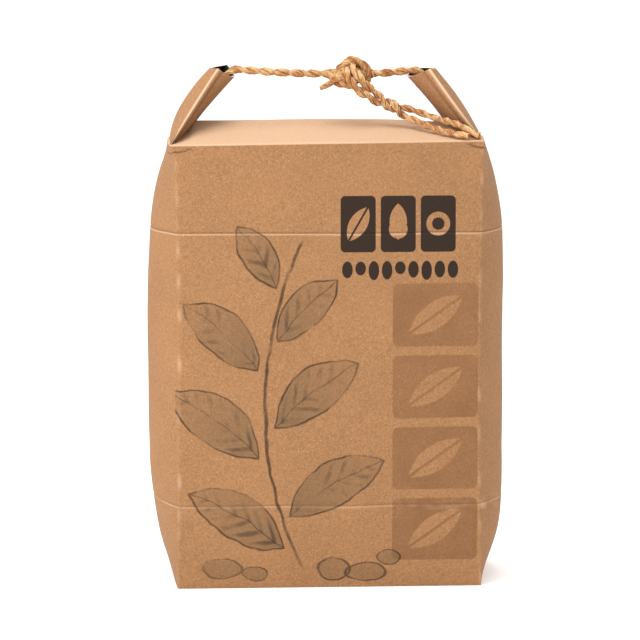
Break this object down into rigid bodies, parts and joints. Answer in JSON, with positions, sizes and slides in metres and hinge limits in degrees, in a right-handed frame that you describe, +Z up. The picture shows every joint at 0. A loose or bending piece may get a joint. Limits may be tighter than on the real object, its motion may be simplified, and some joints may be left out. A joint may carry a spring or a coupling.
{
  "type": "cat litter bag",
  "caption": "Sealed block-bottom kraft paper sack of litter with a rolled top, two upright corner ears and a knotted paper rope handle.",
  "frame": {"origin": "centre of the sack's flat bottom", "axes": "+Z up, the printed front faces -Y, +X to the right seen from the front"},
  "size_m": [0.2411, 0.116, 0.35],
  "materials": {
    "kraft_paper": "uncoated kraft, matt",
    "paper_twine": "twisted paper, slight sheen"
  },
  "bodies": {
    "root": {"paper_sack": "kraft_paper", "rope_left_run": "paper_twine", "rope_right_run": "paper_twine", "rope_knot": "paper_twine", "rope_upper_end": "paper_twine", "rope_lower_end": "paper_twine", "rope_tail": "paper_twine"}
  },
  "joints": []
}
